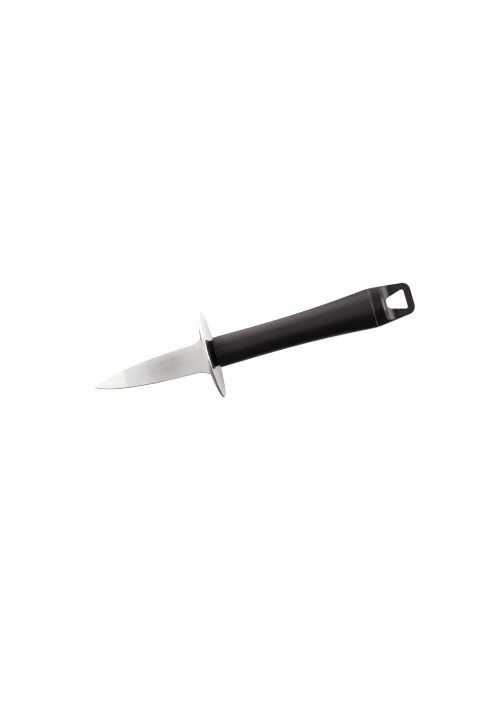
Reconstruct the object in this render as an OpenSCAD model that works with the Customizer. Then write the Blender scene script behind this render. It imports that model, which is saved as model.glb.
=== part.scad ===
// Oyster knife: a short spear-shaped blade, a dished hand guard and a moulded handle that ends in a hanging loop.
// Every piece is drawn along the knife's own axis, X, with X = 0 on the rear face of the guard, where the collar
// bears. The blade points along -X and the hanging loop is at +X. The finished knife is then laid down on a table.
// Sizes are in millimetres.

/* [Blade] */
// Length of the blade from its point to its shoulders
blade_len = 71.6; // [50:0.2:100]
// Width where the two edges run nearly parallel, just before the flare
blade_w = 18.1; // [13:0.1:24]
// Thickness of the steel at the shoulders and the tang
blade_t = 2.2; // [1.5:0.1:3.2]
// Thickness of the blade at its point
point_t = 1.1; // [0.6:0.1:1.5]
// Angle of each edge to the axis at the point
point_angle = 30; // [18:1:40]
// How far the steep stretch at the point pulls the edge outwards
point_reach = 9.8; // [5:0.2:14]
// How far forwards the nearly straight stretch of the edge reaches
belly_reach = 33; // [15:1:38]
// Angle of each edge to the axis before the flare
edge_angle = 1; // [0:0.1:2.5]
// Width of the narrow bevel along each edge, which stays blunt
bevel_w = 0.4; // [0.2:0.05:0.7]
// Angle of the bevel to the flat of the blade
bevel_angle = 40; // [25:1:50]
// Length of the flare that leads out to the shoulders
flare_len = 8.2; // [4:0.2:9]
// Radius of the flare
flare_r = 10; // [9.5:0.5:16]
// Width of the tang
tang_w = 9; // [6:0.5:11]
// Length of the tang behind the shoulders
tang_len = 74; // [40:1:82]
// Diameter of the two holes that lock the tang in the handle
tang_hole_d = 4; // [2:0.5:5]

/* [Guard] */
// Diameter of the guard across the blade's edges
guard_d = 54.8; // [40:0.2:64]
// Thickness of the guard's sheet
guard_t = 1.2; // [0.8:0.1:1.6]
// Diameter of the flat land in the middle
land_d = 27.6; // [27:0.2:32]
// How far the rim stands behind the flat land
guard_dish = 2.6; // [0.5:0.1:4]
// Width of the two flats on the rim, one above and one below, that stop the knife rolling
guard_flat_w = 10; // [6:0.5:16]

/* [Collar] */
// Diameter of the collar's flange
flange_d = 18.2; // [17.6:0.1:22]
// Thickness of the collar's flange
flange_t = 1.6; // [1:0.1:3]
// Diameter of the neck between the flange and the grip
neck_d = 16.3; // [15:0.1:17.4]
// Length of the neck
neck_len = 3; // [1.5:0.1:5]
// Diameter of the core inside the grip
core_d = 12.6; // [12:0.1:14]

/* [Grip] */
// Length of the grip
grip_len = 97.8; // [85:0.2:120]
// Diameter at the front of the grip
grip_front_d = 18.8; // [18.2:0.1:22]
// Diameter of the waist
waist_d = 18.5; // [17.8:0.1:20]
// Distance of the waist from the front of the grip
waist_at = 30; // [15:1:45]
// Diameter at the back of the grip
grip_rear_d = 24.3; // [22.8:0.1:28]
// Rounding of the front edge
grip_front_round = 0.9; // [0.3:0.1:1.2]
// Rounding of the back edge
grip_rear_round = 0.7; // [0.2:0.1:0.8]

/* [End cap] */
// Length of the cap from the groove to its end
cap_len = 24; // [21:0.2:32]
// Diameter of the cap at the groove
cap_front_d = 24.2; // [23:0.1:28]
// Width that the taper reaches at the end
cap_end_d = 18.6; // [17.6:0.1:22]
// Rounding of the cap's end corners
cap_corner_r = 4.2; // [2:0.1:5.5]
// Width of the groove between the grip and the cap
groove_w = 0.8; // [0.4:0.1:1.4]
// Diameter at the bottom of the groove
groove_d = 22.4; // [21.4:0.1:22.6]
// Length of the cap's full round body
ridge_at = 5.7; // [4:0.1:8]
// Radius of the coves that lead down to the loop
cove_r = 8; // [5:0.1:9]
// Thickness of the flat hanging loop
loop_t = 3.6; // [2.4:0.1:5]
// Diameter of the spigot inside the grip
spigot_d = 17; // [14.8:0.1:17.6]
// Length of the spigot inside the grip
spigot_len = 16; // [8:1:18]

/* [Hanging hole] */
// Distance of the hole from the front of the cap
hole_at = 8; // [7:0.1:9]
// Length of the hole along the knife
hole_len = 11.6; // [8:0.1:12.4]
// Width of the hole at its narrow end
hole_front_w = 6.1; // [4.4:0.1:8]
// Width of the hole at its wide end
hole_rear_w = 12.5; // [8:0.1:12.8]
// Rounding of the hole's corners
hole_corner_r = 1.5; // [0.6:0.1:2]

/* [Fits] */
// Clearance on each side between pieces that sit in one another
fit_gap = 0.05; // [0.02:0.01:0.15]

/* [Hidden] */
$fn = 96;
half_turn = 180;
seam_overlap = 1;         // how far a cutter runs past the face that it cuts
arc_steps = 12;           // straight pieces in a drawn arc
small_arc_steps = 6;      // straight pieces in a small rounding
section_steps = 22;       // blade sections along the edge curve
flare_steps = 9;          // blade sections along the flare
point_half_w = 0.35;      // half the width of the blunted point
bevel_depth_max = 0.7;    // largest share of half the blade's thickness that the bevel may take

guard_r = guard_d / 2;
shoulder_x = -guard_t;
point_x = shoulder_x - blade_len;
flange_end_x = flange_t;
grip_x = flange_end_x + neck_len;
grip_end_x = grip_x + grip_len;
cap_x = grip_end_x + groove_w;
cap_end_x = cap_x + cap_len;
core_end_x = grip_end_x - spigot_len;
tang_hole_xs = [for (k = [1, 2]) grip_x + k * (tang_len - grip_x) / 3];

// The middle of the sheet follows an arc that starts level with the land and rises by guard_dish at the rim.
dish_run = guard_r - land_d / 2;
dish_r = (dish_run * dish_run + guard_dish * guard_dish) / (2 * guard_dish);
dish_rear_r = dish_r - guard_t / 2;
dish_front_r = dish_r + guard_t / 2;

// On the table the knife rests on a flat of its guard's rim and on the ridge of its end cap.
guard_flat_z = sqrt(guard_r * guard_r - guard_flat_w * guard_flat_w / 4);
rim_rear_x = dish_rear_r - sqrt(dish_rear_r * dish_rear_r - dish_run * dish_run);
cap_slope = (cap_front_d - cap_end_d) / (2 * cap_len);
ridge_x = cap_x + ridge_at;
ridge_r = cap_front_d / 2 - cap_slope * ridge_at;
rest_tilt = atan((guard_flat_z - ridge_r) / (ridge_x - rim_rear_x));
rest_height = guard_flat_z * cos(rest_tilt) + rim_rear_x * sin(rest_tilt);
mid_x = (point_x + cap_end_x) / 2;

// Lays a piece drawn along the axis down on the table, with the knife's middle over the origin.
module laid_down() {
    translate([-mid_x * cos(rest_tilt), 0, rest_height]) rotate([0, rest_tilt, 0]) children();
}

// Turns a profile of [radius, X] points about the knife's axis.
module turned(profile) {
    rotate([0, 90, 0]) rotate_extrude() polygon(profile);
}

// Points on an arc about [cx, cy], from angle a0 to angle a1.
function arc(cx, cy, r, a0, a1, steps) =
    [for (k = [0:steps]) let (a = a0 + (a1 - a0) * k / steps) [cx + r * cos(a), cy + r * sin(a)]];

// A point of the cubic Bezier curve with the four control points in p.
function bezier(p, s) =
    let (r = 1 - s) r * r * r * p[0] + 3 * r * r * s * p[1] + 3 * r * s * s * p[2] + s * s * s * p[3];

// Rounds each corner of a convex outline, listed anticlockwise.
function rounded(outline, r) = [
    for (k = [0:len(outline) - 1])
        let (
            p = outline[k],
            before = outline[(k + len(outline) - 1) % len(outline)],
            after = outline[(k + 1) % len(outline)],
            u = (before - p) / norm(before - p),
            v = (after - p) / norm(after - p),
            half = acos(u * v) / 2,
            centre = p + (u + v) / norm(u + v) * r / sin(half),
            end = atan2(-v[0], v[1]),
            turn = half_turn - 2 * half
        )
        each arc(centre[0], centre[1], r, end - turn, end, small_arc_steps)
];

// Half the width of the blade and its bevel, as the edge runs back from the point. Each entry is
// [distance from the point, half width].
straight_len = blade_len - flare_len;
edge_curve = [
    [0, point_half_w],
    [point_reach * cos(point_angle), point_half_w + point_reach * sin(point_angle)],
    [straight_len - belly_reach, blade_w / 2 - belly_reach * tan(edge_angle)],
    [straight_len, blade_w / 2]
];
edge_points = [
    for (k = [0:section_steps]) bezier(edge_curve, k / section_steps),
    for (k = [1:flare_steps])
        let (d = flare_len * k / flare_steps)
        [straight_len + d, blade_w / 2 + flare_r - sqrt(flare_r * flare_r - d * d)]
];

// One section of the blade, square to the axis: a flat with a bevel down to a blunt edge on each side.
function blade_section(d, half_w) =
    let (
        half_t = (point_t + (blade_t - point_t) * min(1, d / straight_len)) / 2,
        bevel = min(bevel_w, half_w / 2),
        land = half_t - min(bevel * tan(bevel_angle), half_t * bevel_depth_max),
        x = point_x + d,
        flat = half_w - bevel
    )
    [[x, half_w, -land], [x, half_w, land], [x, flat, half_t], [x, -flat, half_t],
     [x, -half_w, land], [x, -half_w, -land], [x, -flat, -half_t], [x, flat, -half_t]];

// Joins sections of equal point counts into one closed solid.
module loft(sections) {
    n = len(sections[0]);
    last = len(sections) - 1;
    points = [for (s = sections) each s];
    sides = [
        for (i = [0:last - 1], j = [0:n - 1])
            let (a = i * n + j, b = i * n + (j + 1) % n)
            each [[a, b + n, b], [a, a + n, b + n]]
    ];
    front = [for (j = [0:n - 1]) j];
    back = [for (j = [n - 1:-1:0]) last * n + j];
    polyhedron(points, concat([front], sides, [back]), convexity = 4);
}

// The tang, grown by a clearance on every side but its front.
module tang(gap) {
    translate([shoulder_x, -tang_w / 2 - gap, -blade_t / 2 - gap])
        cube([tang_len + gap, tang_w + 2 * gap, blade_t + 2 * gap]);
}

module tang_pins(d) {
    for (x = tang_hole_xs)
        translate([x, 0, -blade_t / 2 - seam_overlap])
            cylinder(d = d, h = blade_t + 2 * seam_overlap);
}

module blade() {
    color("silver") laid_down() difference() {
        union() {
            loft([for (p = edge_points) blade_section(p[0], p[1])]);
            tang(0);
        }
        tang_pins(tang_hole_d);
    }
}

// One face of the dished sheet, from the edge of the land out to the rim.
function dish_face(r) = arc(land_d / 2, dish_rear_r, r, -90, asin(dish_run / r) - 90, arc_steps);

module guard() {
    front = dish_face(dish_front_r);
    front_inwards = [for (k = [arc_steps:-1:0]) front[k]];
    color("lightgray") laid_down() difference() {
        turned(concat([[0, 0]], dish_face(dish_rear_r), front_inwards, [[0, -guard_t]]));
        translate([-guard_t - seam_overlap, -tang_w / 2 - fit_gap, -blade_t / 2 - fit_gap])
            cube([guard_t + 2 * seam_overlap, tang_w + 2 * fit_gap, blade_t + 2 * fit_gap]);
        for (side = [0, 1])
            mirror([0, 0, side]) translate([-guard_r, -guard_r, guard_flat_z])
                cube([guard_d, guard_d, guard_r]);
    }
}

module handle_core() {
    flange_round = flange_t / 4;
    flange_r = flange_d / 2;
    profile = concat(
        [[0, 0]],
        arc(flange_r - flange_round, flange_round, flange_round, -90, 0, small_arc_steps),
        arc(flange_r - flange_round, flange_t - flange_round, flange_round, 0, 90, small_arc_steps),
        [[neck_d / 2, flange_end_x], [neck_d / 2, grip_x], [core_d / 2, grip_x],
         [core_d / 2, core_end_x], [0, core_end_x]]
    );
    color("dimgray") laid_down() {
        difference() {
            turned(profile);
            tang(fit_gap);
        }
        tang_pins(tang_hole_d - 2 * fit_gap);
    }
}

// Radius of the grip's outside, from its front edge, through its waist, to its back edge. It is a gentle
// dip in front of the waist and a long flare behind it.
grip_curve_front = [
    [grip_front_d / 2, 0],
    [grip_front_d / 2, waist_at * 0.4],
    [waist_d / 2, waist_at * 0.6],
    [waist_d / 2, waist_at]
];
flare_run = grip_len - waist_at;
grip_curve_rear = [
    [waist_d / 2, waist_at],
    [waist_d / 2, waist_at + flare_run * 0.42],
    [grip_rear_d / 2 - (grip_rear_d - waist_d) * 0.29, grip_len - flare_run * 0.32],
    [grip_rear_d / 2, grip_len]
];

module grip() {
    at = [0, grip_x];
    outside = concat(
        [for (k = [1:arc_steps]) at + bezier(grip_curve_front, k / arc_steps)],
        [for (k = [1:2 * arc_steps - 1]) at + bezier(grip_curve_rear, k / (2 * arc_steps))]
    );
    front_r = grip_front_d / 2 - grip_front_round;
    rear_r = grip_rear_d / 2 - grip_rear_round;
    bore_r = core_d / 2 + fit_gap;
    socket_r = spigot_d / 2 + fit_gap;
    profile = concat(
        [[bore_r, grip_x]],
        arc(front_r, grip_x + grip_front_round, grip_front_round, -90, 0, small_arc_steps),
        outside,
        arc(rear_r, grip_end_x - grip_rear_round, grip_rear_round, 0, 90, small_arc_steps),
        [[socket_r, grip_end_x], [socket_r, core_end_x], [bore_r, core_end_x]]
    );
    color([0.13, 0.13, 0.13]) laid_down() turned(profile);
}

// The round solid that the cap is cut from: the spigot, the bottom of the groove and the tapered body.
module cap_body() {
    end_r = cap_end_d / 2 + cap_slope * cap_corner_r - cap_corner_r;
    turned(concat(
        [[0, core_end_x], [spigot_d / 2, core_end_x], [spigot_d / 2, grip_end_x],
         [groove_d / 2, grip_end_x], [groove_d / 2, cap_x], [cap_front_d / 2, cap_x]],
        arc(end_r, cap_end_x - cap_corner_r, cap_corner_r, 0, 90, arc_steps),
        [[0, cap_end_x]]
    ));
}

// Cuts one face of the cap down to the loop: a wall at the ridge, a cove, and then the flat.
module cove_cut() {
    past_end = cap_end_x + seam_overlap;
    side_view = concat(
        arc(ridge_x + cove_r, loop_t / 2 + cove_r, cove_r, -180, -90, arc_steps),
        [[past_end, loop_t / 2], [past_end, cap_front_d], [ridge_x, cap_front_d]]
    );
    rotate([90, 0, 0]) translate([0, 0, -cap_front_d])
        linear_extrude(height = 2 * cap_front_d) polygon(side_view);
}

module hanging_hole() {
    front_x = cap_x + hole_at;
    outline = [[front_x, -hole_front_w / 2], [front_x + hole_len, -hole_rear_w / 2],
               [front_x + hole_len, hole_rear_w / 2], [front_x, hole_front_w / 2]];
    translate([0, 0, -cap_front_d / 2]) linear_extrude(height = cap_front_d)
        polygon(rounded(outline, hole_corner_r));
}

module end_cap() {
    color([0.2, 0.2, 0.2]) laid_down() difference() {
        cap_body();
        cove_cut();
        mirror([0, 0, 1]) cove_cut();
        hanging_hole();
    }
}

blade();
guard();
handle_core();
grip();
end_cap();
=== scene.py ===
"""The looks of the oyster knife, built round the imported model.

Every piece is drawn in the knife's own frame, in millimetres, as in the CAD source: X runs along the knife,
with X = 0 on the rear face of the guard and the blade towards -X, Y across the blade and Z square to it.
add_piece() then lays it down in the row frame, in metres.
"""

import math

import bpy
import numpy as np
from mathutils import Matrix, Vector


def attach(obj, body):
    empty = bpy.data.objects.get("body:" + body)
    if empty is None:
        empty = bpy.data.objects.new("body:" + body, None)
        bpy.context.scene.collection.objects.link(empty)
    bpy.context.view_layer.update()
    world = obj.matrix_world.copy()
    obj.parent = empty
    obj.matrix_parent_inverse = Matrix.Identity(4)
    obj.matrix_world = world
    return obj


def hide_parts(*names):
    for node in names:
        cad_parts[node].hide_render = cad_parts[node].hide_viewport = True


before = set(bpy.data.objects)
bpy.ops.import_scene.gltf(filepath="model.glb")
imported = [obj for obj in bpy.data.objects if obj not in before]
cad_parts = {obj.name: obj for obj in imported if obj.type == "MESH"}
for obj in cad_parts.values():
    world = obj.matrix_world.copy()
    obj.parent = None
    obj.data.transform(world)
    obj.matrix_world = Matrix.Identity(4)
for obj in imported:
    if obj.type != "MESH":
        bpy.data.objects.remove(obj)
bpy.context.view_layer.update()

MM = 0.001

# The names and sizes down to the end cap are those of the CAD source. A radius here is half a diameter there.

# Blade
BLADE_LEN = 71.6
BLADE_W = 18.1
BLADE_T = 2.2
POINT_T = 1.1
POINT_ANGLE = math.radians(30)
POINT_REACH = 9.8
POINT_HALF_W = 0.35
BELLY_REACH = 33.0
EDGE_ANGLE = math.radians(1)
BEVEL_W = 0.4
BEVEL_ANGLE = math.radians(40)
BEVEL_DEPTH_MAX = 0.7
FLARE_LEN = 8.2
FLARE_R = 10.0
TANG_W = 9.0
TANG_LEN = 74.0

# Guard
GUARD_R = 54.8 / 2
GUARD_T = 1.2
LAND_R = 27.6 / 2
GUARD_DISH = 2.6
GUARD_FLAT_W = 10.0
FIT_GAP = 0.05

# Collar and core
FLANGE_R = 18.2 / 2
FLANGE_T = 1.6
FLANGE_ROUND = FLANGE_T / 4
NECK_R = 16.3 / 2
NECK_LEN = 3.0
CORE_R = 12.6 / 2

# Grip
GRIP_LEN = 97.8
GRIP_FRONT_R = 18.8 / 2
GRIP_FRONT_ROUND = 0.9
WAIST_R = 18.5 / 2
WAIST_AT = 30.0
GRIP_REAR_R = 24.3 / 2

# End cap
CAP_LEN = 24.0
CAP_FRONT_R = 24.2 / 2
CAP_END_R = 18.6 / 2
CAP_CORNER_R = 4.2
GROOVE_W = 0.8
RIDGE_AT = 5.7
COVE_R = 8.0
LOOP_T = 3.6
SPIGOT_R = 17.0 / 2
SPIGOT_LEN = 16.0
HOLE_AT = 8.0
HOLE_LEN = 11.6
HOLE_FRONT_W = 6.1
HOLE_REAR_W = 12.5
HOLE_CORNER_R = 1.5

# Finer than the CAD source: the crown of the blade's faces and the steeper facet at its point
FACE_CROWN_R = 143.0
TIP_FACET_LEN = 20.0
TIP_FACET_ANGLE = math.radians(1)

# Different from the CAD source, where this rounding is 0.7, the grip's rear face isn't shifted towards the cap
# and the groove is 22.4 across
GRIP_REAR_ROUND = 0.5
SEAM_SHIFT = 0.4
GROOVE_R = 23.8 / 2

# Places along the knife
SHOULDER_X = -GUARD_T
POINT_X = SHOULDER_X - BLADE_LEN
STRAIGHT_LEN = BLADE_LEN - FLARE_LEN
GRIP_X = FLANGE_T + NECK_LEN
GRIP_END_X = GRIP_X + GRIP_LEN
SEAM_X = GRIP_END_X + SEAM_SHIFT
CAP_X = GRIP_END_X + GROOVE_W
CAP_END_X = CAP_X + CAP_LEN
CORE_END_X = GRIP_END_X - SPIGOT_LEN
RIDGE_X = CAP_X + RIDGE_AT
MID_X = (POINT_X + CAP_END_X) / 2

# How the knife lies: on the lower flat of the guard's rim and on the ridge of the end cap
DISH_RUN = GUARD_R - LAND_R
DISH_R = (DISH_RUN**2 + GUARD_DISH**2) / (2 * GUARD_DISH)
DISH_REAR_R = DISH_R - GUARD_T / 2
DISH_FRONT_R = DISH_R + GUARD_T / 2
GUARD_FLAT_Z = math.sqrt(GUARD_R**2 - GUARD_FLAT_W**2 / 4)
RIM_REAR_X = DISH_REAR_R - math.sqrt(DISH_REAR_R**2 - DISH_RUN**2)
CAP_SLOPE = (CAP_FRONT_R - CAP_END_R) / CAP_LEN
RIDGE_R = CAP_FRONT_R - CAP_SLOPE * RIDGE_AT
REST_TILT = math.atan((GUARD_FLAT_Z - RIDGE_R) / (RIDGE_X - RIM_REAR_X))
REST_HEIGHT = GUARD_FLAT_Z * math.cos(REST_TILT) + RIM_REAR_X * math.sin(REST_TILT)

# From the knife's own frame, in millimetres, to the row frame, in metres
LAID_DOWN = (
    Matrix.Scale(MM, 4)
    @ Matrix.Translation((-MID_X * math.cos(REST_TILT), 0, REST_HEIGHT))
    @ Matrix.Rotation(REST_TILT, 4, "Y")
)


# Mesh building

def add_piece(name, points, faces, material, node, grain=None, second_material=None, second_faces=()):
    """Makes a smooth-shaded piece from points in the knife's frame, which stands for a CAD node.

    grain gives each point's place on the map that brushed steel takes its direction from. The faces whose
    numbers are in second_faces have the second material."""
    mesh = bpy.data.meshes.new(name)
    mesh.from_pydata([Vector(p) for p in points], [], [list(f) for f in faces])
    mesh.transform(LAID_DOWN)
    if grain is not None:
        layer = mesh.uv_layers.new(name="grain")
        corner_points = np.zeros(len(mesh.loops), np.int32)
        mesh.loops.foreach_get("vertex_index", corner_points)
        layer.data.foreach_set("uv", np.asarray(grain, np.float32)[corner_points].ravel())
    mesh.materials.append(material)
    if second_material is not None:
        mesh.materials.append(second_material)
        for number in second_faces:
            mesh.polygons[number].material_index = 1
    mesh.validate()
    mesh.shade_smooth()
    piece = bpy.data.objects.new(name, mesh)
    bpy.context.scene.collection.objects.link(piece)
    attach(piece, "root")
    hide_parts(node)


def softened(corners, steps=6, support=0.08):
    """A path through corners, each (a, b, radius), with the inner ones rounded.

    Each rounding has a supporting point on both sides, so that smooth shading keeps the flats flat."""
    most = 0.9  # the share of a side that a rounding with its support may take up
    path = [np.array(corners[0][:2], float)]
    for before, corner, after in zip(corners, corners[1:], corners[2:]):
        p = np.array(corner[:2], float)
        radius = corner[2]
        if radius <= 0:
            path.append(p)
            continue
        u = np.array(before[:2], float) - p
        v = np.array(after[:2], float) - p
        u_len = np.linalg.norm(u)
        v_len = np.linalg.norm(v)
        u /= u_len
        v /= v_len
        half = math.acos(np.clip(u @ v, -1, 1)) / 2
        reach = radius / math.tan(half)
        centre = p + (u + v) / np.linalg.norm(u + v) * radius / math.sin(half)
        start = p + u * reach - centre
        end = p + v * reach - centre
        turn = math.pi - 2 * half
        path.append(p + u * min(reach + support, most * u_len))
        for k in range(steps + 1):
            a = turn * k / steps
            path.append(centre + (start * math.sin(turn - a) + end * math.sin(a)) / math.sin(turn))
        path.append(p + v * min(reach + support, most * v_len))
    path.append(np.array(corners[-1][:2], float))
    return np.array(path)


def bezier(p0, p1, p2, p3, steps):
    """Points on a cubic Bezier curve, without its first one."""
    s = np.linspace(0, 1, steps + 1)[1:, None]
    r = 1 - s
    p0, p1, p2, p3 = (np.array(p, float) for p in (p0, p1, p2, p3))
    return r**3 * p0 + 3 * r * r * s * p1 + 3 * r * s * s * p2 + s**3 * p3


def grid_faces(rows, columns):
    """Quads of a grid of points, whose rows close on themselves."""
    i, j = np.meshgrid(np.arange(rows - 1), np.arange(columns), indexing="ij")
    a = (i * columns + j).ravel()
    b = (i * columns + (j + 1) % columns).ravel()
    return np.stack([a, b, b + columns, a + columns], axis=1)


def lathe(profile, segments=256):
    """Points and faces of a closed profile of [radius, X] points turned about the knife's axis."""
    profile = np.asarray(profile, float)
    angle = np.linspace(0, 2 * math.pi, segments, endpoint=False)
    r = profile[:, :1]
    x = np.broadcast_to(profile[:, 1:], (len(profile), segments))
    points = np.stack([x, r * np.cos(angle), r * np.sin(angle)], axis=2).reshape(-1, 3)
    return points, grid_faces(len(profile) + 1, segments) % len(points)


# Blade

def edge_half_width():
    """Distances from the point to the shoulders, with half the blade's width at each."""
    slope = math.tan(EDGE_ANGLE)
    belly = bezier(
        (0, POINT_HALF_W),
        (POINT_REACH * math.cos(POINT_ANGLE), POINT_HALF_W + POINT_REACH * math.sin(POINT_ANGLE)),
        (STRAIGHT_LEN - BELLY_REACH, BLADE_W / 2 - BELLY_REACH * slope),
        (STRAIGHT_LEN, BLADE_W / 2),
        steps=90,
    )
    turn = np.linspace(math.radians(10), math.radians(90), 7)
    tip_len = 0.4 * POINT_HALF_W
    tip = np.stack([tip_len * (1 - np.cos(turn)), POINT_HALF_W * np.sin(turn)], axis=1)
    least_step = 0.1
    belly = belly[belly[:, 0] > tip[-1, 0] + least_step]
    d = np.linspace(0, FLARE_LEN, 25)[1:]
    flare = np.stack([STRAIGHT_LEN + d, BLADE_W / 2 + FLARE_R - np.sqrt(FLARE_R**2 - d * d)], axis=1)
    return np.concatenate([tip, belly, flare])


def half_thickness(d):
    """Half the blade's thickness at a distance from its point.

    The facet at the point is ground a little steeper than the body, and the two slopes blend softly."""
    tip_slope = math.tan(TIP_FACET_ANGLE)
    ground = POINT_T / 2 + tip_slope * d
    at_facet = POINT_T / 2 + tip_slope * TIP_FACET_LEN
    body = at_facet + (BLADE_T / 2 - at_facet) * (d - TIP_FACET_LEN) / (BLADE_LEN - TIP_FACET_LEN)
    softness = 0.004
    blended = -softness * math.log(math.exp(-ground / softness) + math.exp(-body / softness))
    return min(blended, BLADE_T / 2)


def blade_section(d, half_w):
    """The outline of one section of the blade, as [Y, Z] points in a fixed number."""
    blunt_end = 0.55  # the thickness at the very tip, as a share of what it is behind the rounded point
    half_t = half_thickness(d)
    half_t *= min(1, blunt_end + (1 - blunt_end) * half_w / (2 * POINT_HALF_W))
    bevel = min(BEVEL_W, half_w / 2)
    face_w = half_w - bevel
    face = [(y, half_t - y * y / (2 * FACE_CROWN_R), 0) for y in face_w * np.linspace(0, 0.9, 7)]
    face_round = min(0.3, bevel * 0.6)
    face_edge = (face_w, half_t - face_w**2 / (2 * FACE_CROWN_R), face_round)
    land = face_edge[1] - min(bevel * math.tan(BEVEL_ANGLE), half_t * BEVEL_DEPTH_MAX)
    edge_round = min(0.08, land * 0.4)
    corners = [*face, face_edge, (half_w, land, edge_round), (half_w, 0, 0)]
    path = softened(corners, steps=4, support=0.04)[:-1]
    side = np.concatenate([path, [[half_w, 0]], (path * (1, -1))[::-1]])
    other = (side * (-1, 1))[::-1]
    return np.concatenate([side[:-1], other[:-1]])


def blade(material):
    """The ground blade from its point to its flared shoulders, and the tang inside the handle."""
    edge = edge_half_width()
    sections = [blade_section(d, half_w) for d, half_w in edge]
    xs = [POINT_X + d for d, _ in edge]
    widest = sections[-1]
    tang_half_w = TANG_W / 2
    tang = np.clip(widest, (-tang_half_w, -BLADE_T / 2), (tang_half_w, BLADE_T / 2))
    shoulder_step = 0.001
    for x in (SHOULDER_X + shoulder_step, SHOULDER_X + TANG_LEN):
        sections.append(tang)
        xs.append(x)
    columns = len(widest)
    points = np.concatenate([
        np.column_stack([np.full(columns, x), section]) for x, section in zip(xs, sections)
    ])
    faces = [list(f) for f in grid_faces(len(xs), columns)]
    first = list(range(columns))
    last = [(len(xs) - 1) * columns + k for k in first]
    faces += [first[::-1], last]
    grain = points[:, :2] * MM
    add_piece("blade_ground", points, faces, material, "blade", grain)


# Guard

def guard_outline(angle):
    """Radius of the guard's rim at an angle from +Y: a circle with a flat above and below."""
    least_sine = 0.9  # away from the flats, this leaves the circle as the smaller of the two
    flat = GUARD_FLAT_Z / max(abs(math.sin(angle)), least_sine)
    return min(GUARD_R, flat)


def dish_x(radius, face_r):
    """X of a face of the dished sheet, whose arc has the radius face_r, at a distance from the axis."""
    run = np.maximum(radius - LAND_R, 0)
    return DISH_REAR_R - np.sqrt(face_r**2 - run * run)


def slot_outline(angle):
    """Distance from the axis to the edge of the tang's slot, at an angle from +Y."""
    tiny = 1e-9
    to_end = (TANG_W / 2 + FIT_GAP) / max(abs(math.cos(angle)), tiny)
    to_side = (BLADE_T / 2 + FIT_GAP) / max(abs(math.sin(angle)), tiny)
    return min(to_end, to_side)


def guard(material, cut_edge_material):
    """The dished sheet, with the slot for the tang. Its cut edge, all round, is duller than its faces, and its
    steel is painted brighter than theirs, as painted light on the rim.
    """
    rim_round = 0.4
    slot_corner = math.atan2(BLADE_T / 2 + FIT_GAP, TANG_W / 2 + FIT_GAP)
    angles = np.linspace(0, 2 * math.pi, 360, endpoint=False)
    slot_corners = [slot_corner, math.pi - slot_corner, math.pi + slot_corner, 2 * math.pi - slot_corner]
    angles = np.unique(np.concatenate([angles, slot_corners]))
    land_steps = np.array([0.25, 0.5, 0.75, 1])
    dish_steps = np.linspace(0, 1, 13)[1:]
    columns = []
    for angle in angles:
        slot_r = slot_outline(angle)
        rim = guard_outline(angle)
        inner = slot_r + (LAND_R - slot_r) * land_steps
        outer = LAND_R + (rim - 2 * rim_round - LAND_R) * dish_steps
        radii = np.concatenate([[slot_r], inner, outer])
        rear = np.stack([radii, dish_x(radii, DISH_REAR_R)], axis=1)
        front = np.stack([radii, dish_x(radii, DISH_FRONT_R)], axis=1)[::-1]
        rounded = softened([
            (*rear[-1], 0),
            (rim, dish_x(rim, DISH_REAR_R), rim_round),
            (rim, dish_x(rim, DISH_FRONT_R), rim_round),
            (*front[0], 0),
        ])
        profile = np.concatenate([rear[:-1], rounded, front[1:]])
        columns.append(np.column_stack([
            profile[:, 1], profile[:, 0] * math.cos(angle), profile[:, 0] * math.sin(angle),
        ]))
    count = len(profile)
    points = np.concatenate(columns)
    i, j = np.meshgrid(np.arange(len(angles)), np.arange(count), indexing="ij")
    next_i = (i + 1) % len(angles)
    next_j = (j + 1) % count
    a = i * count + j
    b = next_i * count + j
    c = next_i * count + next_j
    d = i * count + next_j
    faces = np.stack([a.ravel(), d.ravel(), c.ravel(), b.ravel()], axis=1)
    # The cut edge lies between the outer supporting points of the rounded path
    cut_start = len(rear)
    cut_end = len(rear) + len(rounded) - 4
    cut_edge = np.flatnonzero((j.ravel() >= cut_start) & (j.ravel() <= cut_end))
    grain = points[:, 1:] * MM
    add_piece(
        "guard_disc", points, faces, material, "guard", grain, cut_edge_material, cut_edge
    )


# Collar and core

def collar(material, neck_shade_material):
    """The flange and the neck in front of the grip, and the core inside it. The neck gets a much darker, less
    glossy black: painted shade for its recess between the flange and the grip.
    """
    middle = 0.01
    neck_root_round = 0.25
    points, faces = lathe(softened([
        (middle, 0, 0),
        (FLANGE_R, 0, FLANGE_ROUND),
        (FLANGE_R, FLANGE_T, FLANGE_ROUND),
        (NECK_R, FLANGE_T, neck_root_round),
        (NECK_R, GRIP_X, 0),
        (CORE_R, GRIP_X, 0),
        (CORE_R, CORE_END_X, 0),
        (middle, CORE_END_X, 0),
    ]))
    margin = 0.01
    in_neck = (points[:, 0] > FLANGE_T - margin) & (points[:, 0] < GRIP_X + margin)
    neck = np.flatnonzero(in_neck[faces].all(axis=1))
    add_piece(
        "collar", points, faces, material, "handle_core", None, neck_shade_material, neck
    )


# Grip

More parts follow.
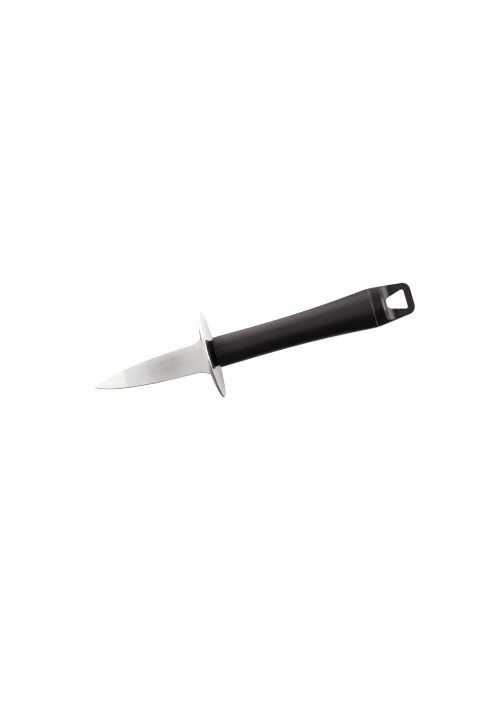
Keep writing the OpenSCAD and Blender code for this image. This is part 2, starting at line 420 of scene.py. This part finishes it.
def grip(material, highlight_material):
    """The waisted sleeve over the core and over the cap's spigot. Its rear edge is painted lighter and
    glossier, a painted highlight along the seam.

    The middle two points of each curve are its handles."""
    flare_run = GRIP_LEN - WAIST_AT
    front = bezier(
        (GRIP_FRONT_R, 0),
        (GRIP_FRONT_R, WAIST_AT * 0.4),
        (WAIST_R, WAIST_AT * 0.6),
        (WAIST_R, WAIST_AT),
        steps=24,
    )
    rear = bezier(
        (WAIST_R, WAIST_AT),
        (WAIST_R, WAIST_AT + flare_run * 0.42),
        (GRIP_REAR_R - (GRIP_REAR_R - WAIST_R) * 0.58, GRIP_LEN - flare_run * 0.32),
        (GRIP_REAR_R, GRIP_LEN),
        steps=60,
    )
    outside = np.concatenate([front, rear]) + (0, GRIP_X)
    bore = CORE_R + FIT_GAP
    socket = SPIGOT_R + FIT_GAP
    last_step = 0.5  # from the last point of the closed profile to its first
    # The rounded ends take the place of the outside's first two and last three points
    front_edge = softened([
        (bore, GRIP_X, 0),
        (GRIP_FRONT_R, GRIP_X, GRIP_FRONT_ROUND),
        (*outside[2], 0),
    ], steps=8)
    rear_edge = softened([
        (*outside[-4], 0),
        (GRIP_REAR_R, SEAM_X, GRIP_REAR_ROUND),
        (socket, SEAM_X, 0),
        (socket, CORE_END_X, 0),
        (bore, CORE_END_X, 0),
        (bore, GRIP_X + last_step, 0),
    ], steps=8)
    points, faces = lathe(np.concatenate([front_edge[:-1], outside[2:-4], rear_edge]))
    # Length of the rear edge that gets the painted highlight
    highlight_len = 0.65
    is_outside = np.hypot(points[:, 1], points[:, 2]) > GROOVE_R
    on_edge = (points[:, 0] > SEAM_X - highlight_len) & is_outside
    edge = np.flatnonzero(on_edge[faces].all(axis=1))
    add_piece(
        "grip_sleeve", points, faces, material, "grip", None, highlight_material, edge
    )


# End cap, as the surface where a distance field is zero

def round_max(a, b, radius):
    """The larger of two distances, with the outer corner between them rounded to a radius."""
    u = np.maximum(a + radius, 0)
    v = np.maximum(b + radius, 0)
    return np.minimum(np.maximum(a, b), -radius) + np.sqrt(u * u + v * v)


def cap_distance(p):
    """Distance of points to the cap's surface, negative inside."""
    front_round = 0.35
    ridge_round = 0.5
    loop_round = 0.35
    overlap = 1  # how far the spigot and the groove's floor run on inside the body
    x = p[..., 0]
    y = np.abs(p[..., 1])
    z = np.abs(p[..., 2])
    radius = np.sqrt(y * y + z * z)
    taper = (radius - CAP_FRONT_R + CAP_SLOPE * (x - CAP_X)) * math.cos(math.atan(CAP_SLOPE))
    body = round_max(taper, x - CAP_END_X, CAP_CORNER_R)
    body = round_max(body, CAP_X - x, front_round)
    cove = round_max(RIDGE_X - x, LOOP_T / 2 - z, COVE_R)
    solid = round_max(body, -cove, ridge_round)
    front = CAP_X + HOLE_AT
    side_slope = (HOLE_REAR_W - HOLE_FRONT_W) / 2 / HOLE_LEN
    side = (y - HOLE_FRONT_W / 2 - side_slope * (x - front)) * math.cos(math.atan(side_slope))
    hole = round_max(side, front - x, HOLE_CORNER_R)
    hole = round_max(hole, x - front - HOLE_LEN, HOLE_CORNER_R)
    loop = round_max(solid, -hole, loop_round)
    spigot = np.maximum(radius - SPIGOT_R, CORE_END_X - x)
    groove_floor = np.maximum(radius - GROOVE_R, SEAM_X - x)
    stem = np.maximum(np.minimum(spigot, groove_floor), x - CAP_X - overlap)
    return np.minimum(loop, stem)


def surface_net(distance, low, high, cell):
    """Points and quads of the surface where distance is zero, inside the box from low to high.

    Each cell that the surface crosses has one point, and each grid edge that it crosses has one quad."""
    counts = np.ceil((np.array(high) - low) / cell).astype(int) + 1
    axes = [low[k] + cell * np.arange(counts[k]) for k in range(3)]
    grid = np.stack(np.meshgrid(*axes, indexing="ij"), axis=-1)
    value = distance(grid)
    inside = value < 0
    cells = tuple(n - 1 for n in value.shape)
    total = np.zeros((*cells, 3))
    hits = np.zeros(cells)
    crossings = []
    for axis in range(3):
        lower = tuple(slice(0, -1) if k == axis else slice(None) for k in range(3))
        upper = tuple(slice(1, None) if k == axis else slice(None) for k in range(3))
        crossed = inside[lower] != inside[upper]
        crossings.append(crossed)
        where = np.argwhere(crossed)
        near = value[lower][crossed]
        far = value[upper][crossed]
        places = where.astype(float)
        places[:, axis] += near / (near - far)
        b, c = [k for k in range(3) if k != axis]
        for step_b in (0, -1):
            for step_c in (0, -1):
                owner = where.copy()
                owner[:, b] += step_b
                owner[:, c] += step_c
                ok = np.all((owner >= 0) & (owner < cells), axis=1)
                index = tuple(owner[ok].T)
                np.add.at(total, index, places[ok])
                np.add.at(hits, index, 1)
    used = hits > 0
    number = np.full(cells, -1)
    number[used] = np.arange(used.sum())
    points = np.array(low) + cell * total[used] / hits[used][:, None]
    passes = 4
    for _ in range(passes):
        points = points - gradient_step(distance, points)
    faces = []
    for axis in range(3):
        b, c = [k for k in range(3) if k != axis]
        where = np.argwhere(crossings[axis])
        where = where[(where[:, b] > 0) & (where[:, c] > 0)]
        where = where[(where[:, b] < cells[b]) & (where[:, c] < cells[c])]
        corners = []
        for step_b, step_c in ((-1, -1), (0, -1), (0, 0), (-1, 0)):
            owner = where.copy()
            owner[:, b] += step_b
            owner[:, c] += step_c
            corners.append(number[tuple(owner.T)])
        quads = np.stack(corners, axis=1)
        # The other two axes follow one another the other way round when this one is Y
        outwards = inside[tuple(where.T)] ^ (axis == 1)
        quads[~outwards] = quads[~outwards][:, ::-1]
        faces.append(quads)
    return points, np.concatenate(faces)


def gradient_step(distance, points, h=0.01):
    """How far to move points along the distance's slope to land on the surface."""
    least_slope_squared = 0.25
    value = distance(points)
    slope = np.stack([
        (distance(points + h * step) - distance(points - h * step)) / (2 * h) for step in np.eye(3)
    ], axis=1)
    length = np.maximum((slope * slope).sum(axis=1), least_slope_squared)
    return slope * (value / length)[:, None]


def end_cap(material):
    """The cap with its ridge and its flat loop, and the spigot inside the grip."""
    cell = 0.22
    margin = 0.6
    side = CAP_FRONT_R + margin
    low = (CORE_END_X - margin, -side, -side)
    high = (CAP_END_X + margin, side, side)
    points, faces = surface_net(cap_distance, low, high, cell)
    add_piece("cap_and_loop", points, faces, material, "end_cap")


# Materials

STEEL_DARK = (0.66, 0.65, 0.64)
STEEL_LIGHT = (0.74, 0.73, 0.715)
PLASTIC_GLOSS_TINT = (1, 0.87, 0.85, 1)

# Most of a noise texture's values lie between these two
NOISE_LOW = 0.3
NOISE_HIGH = 0.7


def new_material(name):
    """A material, with its node tree and its shader."""
    material = bpy.data.materials.new(name)
    material.use_nodes = True
    tree = material.node_tree
    return material, tree, tree.nodes["Principled BSDF"]


def knife_coordinates(tree):
    """Places on the object in the knife's own directions, in metres from the row frame's origin."""
    coordinates = tree.nodes.new("ShaderNodeTexCoord")
    turn = tree.nodes.new("ShaderNodeVectorRotate")
    turn.rotation_type = "Y_AXIS"
    turn.inputs["Angle"].default_value = -REST_TILT
    tree.links.new(coordinates.outputs["Object"], turn.inputs["Vector"])
    return turn.outputs["Vector"]


def noise(tree, vector, stretch, scale, detail=4.0, roughness=0.6):
    """A noise texture, stretched by scaling each direction."""
    scaling = tree.nodes.new("ShaderNodeVectorMath")
    scaling.operation = "MULTIPLY"
    scaling.inputs[1].default_value = stretch
    texture = tree.nodes.new("ShaderNodeTexNoise")
    texture.inputs["Scale"].default_value = scale
    texture.inputs["Detail"].default_value = detail
    texture.inputs["Roughness"].default_value = roughness
    tree.links.new(vector, scaling.inputs[0])
    tree.links.new(scaling.outputs[0], texture.inputs["Vector"])
    return texture.outputs["Fac"]


def ranged(tree, value, low, high):
    """Maps a noise texture's values onto low to high."""
    node = tree.nodes.new("ShaderNodeMapRange")
    node.inputs["From Min"].default_value = NOISE_LOW
    node.inputs["From Max"].default_value = NOISE_HIGH
    node.inputs["To Min"].default_value = low
    node.inputs["To Max"].default_value = high
    tree.links.new(value, node.inputs["Value"])
    return node.outputs["Result"]


def tinted(tree, value, dark, light):
    """A colour between two, by a noise texture's value."""
    ramp = tree.nodes.new("ShaderNodeValToRGB")
    ramp.color_ramp.elements[0].position = NOISE_LOW
    ramp.color_ramp.elements[0].color = (*dark, 1)
    ramp.color_ramp.elements[1].position = NOISE_HIGH
    ramp.color_ramp.elements[1].color = (*light, 1)
    tree.links.new(value, ramp.inputs["Fac"])
    return ramp.outputs["Color"]


def bump(tree, height, strength, distance):
    """A surface direction that follows a height, whose full range is worth a distance in metres."""
    node = tree.nodes.new("ShaderNodeBump")
    node.inputs["Strength"].default_value = strength
    node.inputs["Distance"].default_value = distance
    tree.links.new(height, node.inputs["Height"])
    return node.outputs["Normal"]


def painted_guard_shade(tree, place, start_x, end_x, gloss):
    """A gloss that grows from less than half to the whole between two places on the knife's X. It is painted
    shade: the dimmer gloss stands in for the guard's shade on the grip's front.
    """
    shaded_share = 0.4
    origin = -MID_X * math.cos(REST_TILT)**2 - REST_HEIGHT * math.sin(REST_TILT)
    parts = tree.nodes.new("ShaderNodeSeparateXYZ")
    guard_shade_span = tree.nodes.new("ShaderNodeMapRange")
    guard_shade_span.interpolation_type = "SMOOTHSTEP"
    guard_shade_span.inputs["From Min"].default_value = (start_x + origin) * MM
    guard_shade_span.inputs["From Max"].default_value = (end_x + origin) * MM
    guard_shade_span.inputs["To Min"].default_value = gloss * shaded_share
    guard_shade_span.inputs["To Max"].default_value = gloss
    tree.links.new(place, parts.inputs["Vector"])
    tree.links.new(parts.outputs["X"], guard_shade_span.inputs["Value"])
    return guard_shade_span.outputs["Result"]


def brushed_steel(name, grain_stretch, roughness, anisotropy, turn, painted_lightness=1.0):
    """Satin steel with fine lines along its grain. Its colour is scaled by the last argument, and above 1 that
    is painted light.
    """
    spread = 0.015
    material, tree, shader = new_material(name)
    place = knife_coordinates(tree)
    lines = noise(tree, place, grain_stretch, 1.0, detail=3.0)
    clouds = noise(tree, place, (1, 1, 1), 90.0, detail=2.0)
    shader.inputs["Metallic"].default_value = 1.0
    shader.inputs["Anisotropic"].default_value = anisotropy
    shader.inputs["Anisotropic Rotation"].default_value = turn
    dark = [c * painted_lightness for c in STEEL_DARK]
    light = [c * painted_lightness for c in STEEL_LIGHT]
    tree.links.new(tinted(tree, lines, dark, light), shader.inputs["Base Color"])
    tree.links.new(ranged(tree, clouds, roughness - spread, roughness + spread), shader.inputs["Roughness"])
    tree.links.new(bump(tree, lines, 0.15, 0.00001), shader.inputs["Normal"])
    direction = tree.nodes.new("ShaderNodeTangent")
    direction.direction_type = "UV_MAP"
    direction.uv_map = "grain"
    tree.links.new(direction.outputs["Tangent"], shader.inputs["Tangent"])
    return material


def moulded_plastic(name, dark, light, roughness, texture_scale, texture_depth, gloss=0.5, guard_shade_span=None):
    """Black plastic with a fine moulded texture and slight changes in its sheen.

    The last argument, if given, holds the two places on the knife's X between which its gloss grows to the
    whole, as painted shade next to the guard."""
    spread = 0.03
    material, tree, shader = new_material(name)
    shader.inputs["Specular IOR Level"].default_value = gloss
    shader.inputs["Specular Tint"].default_value = PLASTIC_GLOSS_TINT
    place = knife_coordinates(tree)
    texture = noise(tree, place, (1, 1, 1), texture_scale, detail=3.0, roughness=0.5)
    clouds = noise(tree, place, (1, 1, 1), 60.0, detail=3.0)
    tree.links.new(tinted(tree, clouds, dark, light), shader.inputs["Base Color"])
    tree.links.new(ranged(tree, clouds, roughness - spread, roughness + spread), shader.inputs["Roughness"])
    tree.links.new(bump(tree, texture, 1.0, texture_depth), shader.inputs["Normal"])
    if guard_shade_span is not None:
        tree.links.new(painted_guard_shade(tree, place, *guard_shade_span, gloss), shader.inputs["Specular IOR Level"])
    return material


# Stage, light and camera

UP = (0, 0, 1)
DOWN = (0, 0, -1)
NEUTRAL = (1, 1, 1)
WARM = (1.06, 0.98, 0.955)
COOL = (0.95, 1.01, 1.05)
YELLOW = (1.05, 1.1, 0.85)
BLUISH = (0.98, 1, 1.02)


def pale_surface(name, points, faces, glow):
    """Part of the stage. It stays out of the knife's reflections, so that it doesn't fill the shaded side."""
    mesh = bpy.data.meshes.new(name)
    mesh.from_pydata(points, [], faces)
    mesh.shade_smooth()
    material, tree, shader = new_material(name)
    place = tree.nodes.new("ShaderNodeTexCoord").outputs["Object"]
    clouds = noise(tree, place, (1, 1, 1), 8.0)
    paint = tinted(tree, clouds, (0.86, 0.86, 0.86), (0.88, 0.88, 0.88))
    tree.links.new(paint, shader.inputs["Base Color"])
    shader.inputs["Roughness"].default_value = 0.9
    shader.inputs["Emission Color"].default_value = (1, 1, 1, 1)
    shader.inputs["Emission Strength"].default_value = glow
    mesh.materials.append(material)
    surface = bpy.data.objects.new(name, mesh)
    bpy.context.scene.collection.objects.link(surface)
    surface.visible_glossy = False
    surface.visible_diffuse = False
    surface.visible_shadow = False


def floor_and_backdrop():
    """A large pale table top, and a pale dome over it that only the camera sees. Sizes are in metres."""
    radius = 3.0
    corners = [(-radius, -radius, 0), (radius, -radius, 0), (radius, radius, 0), (-radius, radius, 0)]
    pale_surface("table_top", corners, [(0, 1, 2, 3)], glow=0.8)
    around = np.linspace(0, 2 * math.pi, 64, endpoint=False)
    rises = np.radians([-1, 5, 15, 30, 45, 60, 75, 89])
    dome = [
        (
            radius * math.cos(rise) * math.cos(a),
            radius * math.cos(rise) * math.sin(a),
            radius * math.sin(rise),
        )
        for rise in rises
        for a in around
    ]
    pale_surface("backdrop", dome, grid_faces(len(rises), len(around))[:, ::-1].tolist(), glow=1.0)


def panel(name, centre, facing, size, brightness, tint=NEUTRAL):
    """A soft light panel.

    Its centre and the way it faces are in the knife's frame, in millimetres. The first of its sizes is along
    the knife's X, or across where it faces along X. Its brightness is 1 where white paper would just be
    white."""
    data = bpy.data.lights.new(name, "AREA")
    data.color = tint
    data.shape = "RECTANGLE"
    data.size = size[0] * MM
    data.size_y = size[1] * MM
    data.energy = brightness * math.pi * data.size * data.size_y
    light = bpy.data.objects.new(name, data)
    turned = LAID_DOWN.to_quaternion()
    if facing == UP:
        turned = turned @ Matrix.Rotation(math.pi, 3, "X").to_quaternion()
    elif facing != DOWN:
        turned = turned @ Vector(facing).to_track_quat("-Z", "Y")
    light.rotation_mode = "QUATERNION"
    light.rotation_quaternion = turned
    light.location = LAID_DOWN @ Vector(centre)
    light.visible_camera = False
    bpy.context.scene.collection.objects.link(light)


def levels(tree, value, stops, tint):
    """A tinted brightness that goes through stops, each (direction component from -1 to 1, brightness)."""
    share = tree.nodes.new("ShaderNodeMapRange")
    share.inputs["From Min"].default_value = -1
    share.inputs["From Max"].default_value = 1
    ramp = tree.nodes.new("ShaderNodeValToRGB")
    ramp.color_ramp.interpolation = "LINEAR"
    for _ in stops[2:]:
        ramp.color_ramp.elements.new(0.5)
    for element, (component, level) in zip(ramp.color_ramp.elements, stops):
        element.position = (component + 1) / 2
        element.color = (level * tint[0], level * tint[1], level * tint[2], 1)
    tree.links.new(value, share.inputs["Value"])
    tree.links.new(share.outputs["Result"], ramp.inputs["Fac"])
    return ramp.outputs["Color"]


def surroundings():
    """A light tent, dark on the near side, brighter above and on the far side, and dim behind the loop."""
    near_to_far = (
        (-1, 0.03), (-0.6, 0.02), (-0.3, 0.16), (-0.1, 0.4),
        (0.08, 0.38), (0.5, 0.45), (0.9, 0.55), (1, 0.8),
    )
    front_to_back = ((-1, 1), (0.1, 1), (0.4, 0.2), (1, 0.2))
    world = bpy.data.worlds.new("light_tent")
    world.use_nodes = True
    tree = world.node_tree
    coordinates = tree.nodes.new("ShaderNodeTexCoord")
    parts = tree.nodes.new("ShaderNodeSeparateXYZ")
    tree.links.new(coordinates.outputs["Generated"], parts.inputs["Vector"])
    across = levels(tree, parts.outputs["Y"], near_to_far, WARM)
    along = levels(tree, parts.outputs["X"], front_to_back, NEUTRAL)
    both = tree.nodes.new("ShaderNodeVectorMath")
    both.operation = "MULTIPLY"
    tree.links.new(across, both.inputs[0])
    tree.links.new(along, both.inputs[1])
    tree.links.new(both.outputs["Vector"], tree.nodes["Background"].inputs["Color"])
    bpy.context.scene.world = world


def camera():
    """The photograph's view, found by fitting the knife's main points to it. Lengths are in mm and pixels."""
    tilt_x = math.radians(-4.0)
    tilt_y = math.radians(-4.68)
    roll = math.radians(15.62)
    distance = 936.9
    focal = 1553.2
    image_w, image_h = 500, 720
    middle_u, middle_v = 252.22, 342.37
    sensor = 36.0
    shift_x = (middle_u - image_w / 2) / focal * distance
    shift_y = (image_h / 2 - middle_v) / focal * distance
    seen = (
        Matrix.Translation((shift_x, shift_y, -distance))
        @ Matrix.Rotation(roll, 4, "Z")
        @ Matrix.Rotation(tilt_x, 4, "X")
        @ Matrix.Rotation(tilt_y, 4, "Y")
        @ Matrix.Translation((-MID_X, 0, 0))
    )
    data = bpy.data.cameras.new("photo_view")
    data.sensor_fit = "AUTO"
    data.sensor_width = sensor
    data.lens = focal / image_h * sensor
    data.clip_start = 0.01
    data.clip_end = 50
    eye = bpy.data.objects.new("photo_view", data)
    bpy.context.scene.collection.objects.link(eye)
    place = LAID_DOWN @ seen.inverted()
    eye.matrix_world = Matrix.LocRotScale(place.to_translation(), place.to_quaternion(), None)
    bpy.context.scene.camera = eye


# Two shades of each plastic, which its colour drifts between
SMOOTH_BLACK = ((0.038, 0.034, 0.034), (0.042, 0.038, 0.038))
# Nearly black with little gloss: painted shade for the recessed neck
NECK_SHADE_BLACK = ((0.001, 0.001, 0.001), (0.002, 0.002, 0.002))
MATT_BLACK = ((0.0050, 0.0049, 0.0048), (0.0065, 0.0063, 0.0062))
# Lighter black with full gloss: a painted highlight on the grip's rear edge
SEAM_HIGHLIGHT_BLACK = ((0.06, 0.055, 0.054), (0.07, 0.064, 0.063))

blade(brushed_steel("ground_steel", (60, 4000, 4000), 0.14, 0.8, 0.25))
guard(
    brushed_steel("sheet_steel", (1500, 60, 1500), 0.32, 0.5, 0.0),
    # Its colour is made 1.3 times brighter: painted light on the guard's rim
    brushed_steel("cut_edge_steel", (1500, 1500, 1500), 0.42, 0.0, 0.0, painted_lightness=1.3),
)
collar(
    moulded_plastic("smooth_black", *SMOOTH_BLACK, 0.30, 1500.0, 0.000002),
    # The neck's black is painted shade for its recess
    moulded_plastic("painted_neck_shade", *NECK_SHADE_BLACK, 0.75, 1500.0, 0.000005, gloss=0.2),
)
grip(
    moulded_plastic(
        # The gloss dimmed near the guard is painted shade, for the guard's shade on the grip
        "textured_black", *MATT_BLACK, 0.42, 2600.0, 0.00002, guard_shade_span=(GRIP_X - 3, GRIP_X + 13)
    ),
    # The grip's rear edge gets a painted highlight
    moulded_plastic("painted_seam_highlight", *SEAM_HIGHLIGHT_BLACK, 0.35, 2600.0, 0.00001, gloss=1.0),
)
end_cap(moulded_plastic("satin_black", *MATT_BLACK, 0.33, 2000.0, 0.000006))

floor_and_backdrop()
surroundings()

# Overhead, where panels that overlap are at different heights, since they lose light in one plane
panel("over_blade", (-475, 63, 900), DOWN, (600, 900), 0.65, COOL)
panel("over_handle", (35, 63, 900), DOWN, (348, 900), 0.47)
panel("over_cap_band", (330, 63, 930), DOWN, (200, 900), 0.28)
panel("over_point", (-527, 63, 910), DOWN, (600, 900), 0.27, YELLOW)
panel("over_blade_far", (-430, 410, 920), DOWN, (740, 430), 0.3)
panel("beside_dark_spot_far", (-158, 390, 910), DOWN, (40, 400), 0.6)
panel("beside_dark_spot_near", (-158, -180, 910), DOWN, (40, 380), 0.3)

# On the far side, on the near side and behind the loop
panel("far_side", (5, 320, 80), (0, -1, -0.1), (60, 320), 2.1)
panel("far_side_of_rear", (70, 320, 80), (0, -1, -0.1), (70, 320), 1.6)
panel("far_side_of_blade", (-363, 325, 115), (0, -1, -0.1), (676, 390), 1.7)
panel("near_side_of_heel", (-75, -330, 60), (0, 1, 0), (50, 90), 1.0)
panel("behind_loop", (1000, 50, 225), (-1, 0, -0.2), (700, 750), 5.5)

# Low down, for the guard's two faces and the cove of the end cap
panel("table_far", (15, 260, -60), UP, (75, 340), 2.2)
panel("table_before_guard", (-130, 130, -60), UP, (240, 200), 1.15)
panel("table_past_loop", (320, 0, -60), UP, (350, 300), 2.2)
panel("table_by_guard_far", (45, 26, -50), UP, (80, 48), 0.87, BLUISH)
panel("table_by_guard_near", (45, -29, -50), UP, (80, 62), 0.46)

camera()
bpy.context.scene.view_settings.view_transform = "Standard"
